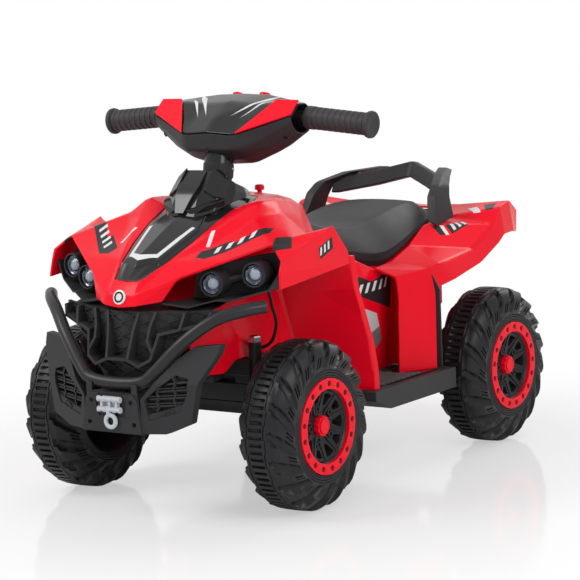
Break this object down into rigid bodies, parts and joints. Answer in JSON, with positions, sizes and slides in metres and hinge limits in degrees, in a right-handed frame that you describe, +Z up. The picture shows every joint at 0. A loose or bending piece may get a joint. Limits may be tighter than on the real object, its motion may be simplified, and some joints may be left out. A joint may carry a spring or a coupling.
{
  "type": "electric ride-on quad",
  "caption": "Child's electric ride-on quad: steered front wheels, tread-lug tyres, faceted bodywork, padded saddle, backrest, running boards, lamps and bull bar.",
  "frame": {"origin": "on the floor, under the middle of the quad's overall length and width", "axes": "+Z up, +Y towards the tail, -Y the way it drives, +X to the rider's left"},
  "size_m": [0.3916, 0.72, 0.4752],
  "materials": {
    "red_gloss": "glossy moulded red plastic",
    "black_gloss": "glossy moulded black plastic",
    "black_matte": "fine grained black plastic",
    "tray_black": "ribbed black plastic",
    "pedal_black": "ribbed black plastic",
    "bar_black": "satin black paint",
    "tyre_black": "moulded plastic tyre, satin",
    "seat_black": "fine leather grain",
    "grip_rubber": "ribbed rubber",
    "steel": "zinc plated",
    "black_steel": "black paint",
    "grey_plastic": "light grey plastic",
    "battery_grey": "grey plastic case",
    "lead_black": "black insulation",
    "clear_lens": "clear moulded lens"
  },
  "bodies": {
    "root": {"backrest": "black_matte", "battery": "battery_grey", "bull_bar": "bar_black", "bumper": "black_matte", "chassis_tray": "tray_black", "cowl": "black_gloss", "front_axle": "black_steel", "front_fairing": "red_gloss", "gearbox": "grey_plastic", "grille": "black_matte", "hood_cover": "black_gloss", "lamp_bezel_left": "black_matte", "lamp_bezel_right": "black_matte", "lamp_lead_left": "lead_black", "lamp_pod_left": "black_matte", "lamp_pod_right": "black_matte", "leg_shield_left": "red_gloss", "leg_shield_right": "red_gloss", "lens_left_inner": "clear_lens", "lens_left_outer": "clear_lens", "lens_right_inner": "clear_lens", "lens_right_outer": "clear_lens", "main_body": "red_gloss", "motor": "steel", "rear_axle": "steel", "rear_fairing": "red_gloss", "seat": "seat_black", "switch_housing": "black_matte", "winch_hook": "grey_plastic"},
    "steering": {"steering_column": "black_steel", "column_collar": "black_matte", "head_lower_cover": "black_matte", "head_upper_cover": "black_gloss", "head_trim_left": "red_gloss", "head_trim_right": "red_gloss", "handlebar_tube": "steel", "grip_left": "grip_rubber", "grip_right": "grip_rubber"},
    "horn_button": {"horn_button": "red_gloss"},
    "music_button": {"music_button": "red_gloss"},
    "direction_switch": {"direction_switch": "red_gloss"},
    "accelerator_pedal": {"accelerator_pedal": "pedal_black"},
    "knuckle_left": {"knuckle_left": "black_steel", "kingpin_nut_left": "steel"},
    "knuckle_right": {"knuckle_right": "black_steel", "kingpin_nut_right": "steel"},
    "tie_rod": {"tie_rod": "black_steel"},
    "wheel_front_left": {"wheel_front_left": "tyre_black", "bead_ring_front_left": "red_gloss", "hub_cap_front_left": "red_gloss"},
    "wheel_front_right": {"wheel_front_right": "tyre_black", "bead_ring_front_right": "red_gloss", "hub_cap_front_right": "red_gloss"},
    "wheel_rear_left": {"wheel_rear_left": "tyre_black", "bead_ring_rear_left": "red_gloss", "hub_cap_rear_left": "red_gloss"},
    "wheel_rear_right": {"wheel_rear_right": "tyre_black", "bead_ring_rear_right": "red_gloss", "hub_cap_rear_right": "red_gloss"}
  },
  "joints": [
    {"name": "steering_turn", "type": "hinge", "parent": "root", "child": "steering", "pos_m": [0, -0.17566, 0.1], "axis": [0, 0.1736, 0.9848], "range_deg": [-22, 22]},
    {"name": "knuckle_left_turn", "type": "hinge", "parent": "root", "child": "knuckle_left", "pos_m": [0.093, -0.195, 0.1], "axis": [0, 0, 1], "range_deg": [-22, 22]},
    {"name": "knuckle_right_turn", "type": "hinge", "parent": "root", "child": "knuckle_right", "pos_m": [-0.093, -0.195, 0.1], "axis": [0, 0, 1], "range_deg": [-22, 22]},
    {"name": "tie_rod_turn", "type": "hinge", "parent": "knuckle_left", "child": "tie_rod", "pos_m": [0.093, -0.155, 0.109], "axis": [0, 0, 1], "range_deg": [-22, 22]},
    {"name": "wheel_front_left_spin", "type": "hinge", "parent": "knuckle_left", "child": "wheel_front_left", "pos_m": [0.158, -0.195, 0.1], "axis": [1, 0, 0], "continuous": true},
    {"name": "wheel_front_right_spin", "type": "hinge", "parent": "knuckle_right", "child": "wheel_front_right", "pos_m": [-0.158, -0.195, 0.1], "axis": [1, 0, 0], "continuous": true},
    {"name": "wheel_rear_left_spin", "type": "hinge", "parent": "root", "child": "wheel_rear_left", "pos_m": [0.158, 0.24, 0.1], "axis": [1, 0, 0], "continuous": true},
    {"name": "wheel_rear_right_spin", "type": "hinge", "parent": "root", "child": "wheel_rear_right", "pos_m": [-0.158, 0.24, 0.1], "axis": [1, 0, 0], "continuous": true},
    {"name": "horn_press", "type": "slide", "parent": "steering", "child": "horn_button", "axis": [0, -0.3499, -0.9368], "range_m": [0, 0.002], "stiffness_N_per_m": 300, "springref_m": -0.001},
    {"name": "music_press", "type": "slide", "parent": "steering", "child": "music_button", "axis": [0, -0.3499, -0.9368], "range_m": [0, 0.002], "stiffness_N_per_m": 300, "springref_m": -0.001},
    {"name": "direction_rock", "type": "hinge", "parent": "root", "child": "direction_switch", "pos_m": [0, -0.041, 0.345], "axis": [1, 0, 0], "range_deg": [-12, 12]},
    {"name": "pedal_press", "type": "hinge", "parent": "root", "child": "accelerator_pedal", "pos_m": [-0.13, 0.03, 0.1195], "axis": [1, 0, 0], "range_deg": [0, 10], "stiffness_Nm_per_rad": 0.5, "springref_deg": -9.74}
  ],
  "couplings": [
    {"joint": "knuckle_left_turn", "follows": "steering_turn", "ratio": 1},
    {"joint": "knuckle_right_turn", "follows": "steering_turn", "ratio": 1},
    {"joint": "tie_rod_turn", "follows": "steering_turn", "ratio": -1}
  ]
}
